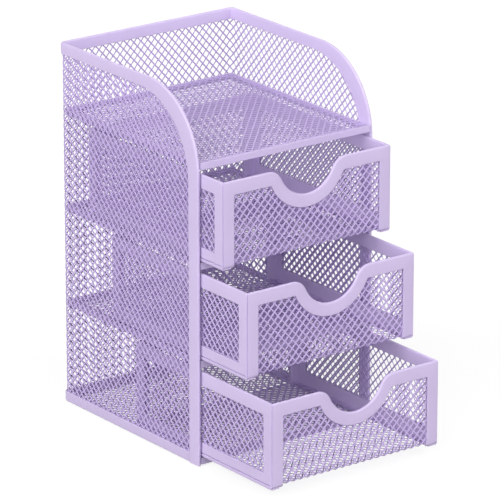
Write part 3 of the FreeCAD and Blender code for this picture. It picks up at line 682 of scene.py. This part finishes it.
def make_camera():
    """The photograph's camera, level from side to side and pointed at its target."""
    yaw, pitch = CAMERA_YAW, CAMERA_PITCH
    back = Vector((math.sin(yaw) * math.cos(pitch), -math.cos(yaw) * math.cos(pitch),
                   math.sin(pitch)))
    right = Vector((math.cos(yaw), math.sin(yaw), 0))
    up = back.cross(right)
    data = bpy.data.cameras.new("camera")
    data.sensor_width = SENSOR
    data.lens = FOCAL_PIXELS / FRAME_PIXELS * SENSOR
    data.clip_end = CLIP_END
    camera = bpy.data.objects.new("camera", data)
    bpy.context.scene.collection.objects.link(camera)
    at = (CAMERA_TARGET + back * CAMERA_DISTANCE
          + right * CAMERA_OFFSET[0] + up * CAMERA_OFFSET[1])
    turn = Matrix((right, up, back)).transposed().to_4x4()
    camera.matrix_world = Matrix.Translation(at) @ turn
    bpy.context.scene.camera = camera


def seen_directly(nodes, links):
    """1 for the camera's rays, reflections and clear parts, 0 for the light on the object."""
    path = nodes.new("ShaderNodeLightPath")
    seen = path.outputs["Is Camera Ray"]
    for ray in ("Is Glossy Ray", "Is Transmission Ray"):
        either = nodes.new("ShaderNodeMath")
        either.operation = "MAXIMUM"
        links.new(seen, either.inputs[0])
        links.new(path.outputs[ray], either.inputs[1])
        seen = either.outputs[0]
    return seen


def make_world():
    """A faint even sky that reads white to the camera."""
    world = bpy.data.worlds.new("studio")
    bpy.context.scene.world = world
    world.use_nodes = True
    nodes, links = world.node_tree.nodes, world.node_tree.links
    ambient = nodes["Background"]
    ambient.inputs["Color"].default_value = (1, 1, 1, 1)
    ambient.inputs["Strength"].default_value = SKY
    white = nodes.new("ShaderNodeBackground")
    mix = nodes.new("ShaderNodeMixShader")
    links.new(seen_directly(nodes, links), mix.inputs["Fac"])
    links.new(ambient.outputs[0], mix.inputs[1])
    links.new(white.outputs[0], mix.inputs[2])
    links.new(mix.outputs[0], nodes["World Output"].inputs["Surface"])


def make_floor():
    """A plain floor that reads white to the camera and keeps the object's shadow."""
    bpy.ops.mesh.primitive_plane_add(size=FLOOR_SIZE, location=(0, 0, -FLOOR_DROP))
    floor = bpy.context.object
    floor.name = "floor"
    material = bpy.data.materials.new("pale_floor")
    material.use_nodes = True
    nodes, links = material.node_tree.nodes, material.node_tree.links
    shader = nodes["Principled BSDF"]
    shader.inputs["Base Color"].default_value = FLOOR_COLOR
    shader.inputs["Roughness"].default_value = FLOOR_ROUGHNESS
    shader.inputs["Specular IOR Level"].default_value = 0.0
    glow = nodes.new("ShaderNodeEmission")
    strength = nodes.new("ShaderNodeMath")
    strength.operation = "MULTIPLY"
    strength.inputs[1].default_value = FLOOR_GLOW
    links.new(seen_directly(nodes, links), strength.inputs[0])
    links.new(strength.outputs[0], glow.inputs["Strength"])
    both = nodes.new("ShaderNodeAddShader")
    links.new(shader.outputs[0], both.inputs[0])
    links.new(glow.outputs[0], both.inputs[1])
    links.new(both.outputs[0], nodes["Material Output"].inputs["Surface"])
    floor.data.materials.append(material)


def make_suns():
    """Wide suns, which light like softboxes."""
    for name, towards, energy in SUNS:
        data = bpy.data.lights.new(name, "SUN")
        data.energy = energy
        data.angle = SUN_ANGLE
        lamp = bpy.data.objects.new(name, data)
        lamp.rotation_euler = Vector(towards).to_track_quat("Z", "Y").to_euler()
        bpy.context.scene.collection.objects.link(lamp)


# The object

def add_piece(name, skin, body, slot, material, *nodes):
    """A visible piece that rides on a body in place of the nodes."""
    piece = finish_mesh(name, *skin)
    piece.data.materials.append(material)
    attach(piece, body)
    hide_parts(*nodes)
    return piece


def make_casing(band, mesh):
    """The casing's pieces, with its shelves at the levels of their frames."""
    add_piece("casing_wall_mesh", wall_mesh(), "casing", "painted_mesh", mesh,
              "side_mesh_left", "side_mesh_right", "back_mesh")
    for side, sign in (("left", -1), ("right", 1)):
        add_piece(f"{side}_edging_hem", hem(side_stations(sign)), "casing", "painted_band",
                  band, f"side_edging_{side}")
    top = rear_stations(CASING_HEIGHT, CASING_HEIGHT - TOP_BAND)
    add_piece("rear_edging_hem", hem(top), "casing", "painted_band", band, "back_edging")
    foot = rear_stations(0.0, FOOT_BAND, FRONT_BAND - HALF_DEPTH)
    add_piece("foot_hem", hem(foot), "casing", "painted_band", band, "foot_band")
    for name in LEVELS:
        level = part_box(f"{name}_frame")[1].z
        add_piece(f"{name}_rail", shelf_rail(level), "casing", "painted_band", band,
                  f"{name}_frame")
        floor = add_piece(f"{name}_floor", shelf_floor(level), "casing", "painted_mesh", mesh,
                          f"{name}_mesh")
        trim_to_box(floor, *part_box(f"{name}_mesh"))


def moved(skin, offset):
    """A skin at another place."""
    verts, faces = skin
    return [point + offset for point in verts], faces


def make_drawer(name, band, mesh):
    """A drawer's pieces, placed by the box of its rim."""
    low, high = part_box(f"{name}_rim")
    offset = Vector((0, low.y, high.z - DRAWER_HEIGHT))

    def add(part, skin, slot, *nodes):
        material = band if slot == "painted_band" else mesh
        add_piece(f"{name}_{part}", moved(skin, offset), name, slot, material,
                  *(f"{name}_{node}" for node in nodes))

    add("bent_sheet", drawer_sheet(), "painted_mesh", "front_mesh", "back_mesh", "floor_mesh")
    add("rim_hem", hem(rim_stations(), closed=True), "painted_band", "rim")
    for side, sign in (("left", -1), ("right", 1)):
        add(f"{side}_panel", side_panel(sign), "painted_mesh", f"{side}_mesh")
        add(f"{side}_sill_band", sill(sign), "painted_band", f"{side}_sill")
        for end, rear in (("front", False), ("rear", True)):
            add(f"{end}_{side}_strip", corner_strip(sign, rear), "painted_band",
                f"{end}_{side}_corner")


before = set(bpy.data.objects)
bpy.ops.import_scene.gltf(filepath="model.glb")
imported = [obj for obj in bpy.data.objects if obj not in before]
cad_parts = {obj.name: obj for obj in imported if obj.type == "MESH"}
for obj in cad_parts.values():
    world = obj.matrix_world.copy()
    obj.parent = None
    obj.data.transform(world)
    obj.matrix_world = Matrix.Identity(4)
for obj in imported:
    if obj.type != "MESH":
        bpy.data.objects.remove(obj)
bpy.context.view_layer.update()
bpy.context.scene.view_settings.view_transform = "Standard"
make_camera()
make_world()
make_floor()
make_suns()
band_paint = paint("lavender_band", BAND_COLOR, BAND_GRAIN)
# The mesh's paint is the band's paint darkened: painted shade.
shaded_mesh_paint = paint("lavender_mesh_painted_shade", MESH_SHADED_COLOR, MESH_GRAIN)
make_casing(band_paint, shaded_mesh_paint)
for drawer_name in DRAWERS:
    make_drawer(drawer_name, band_paint, shaded_mesh_paint)
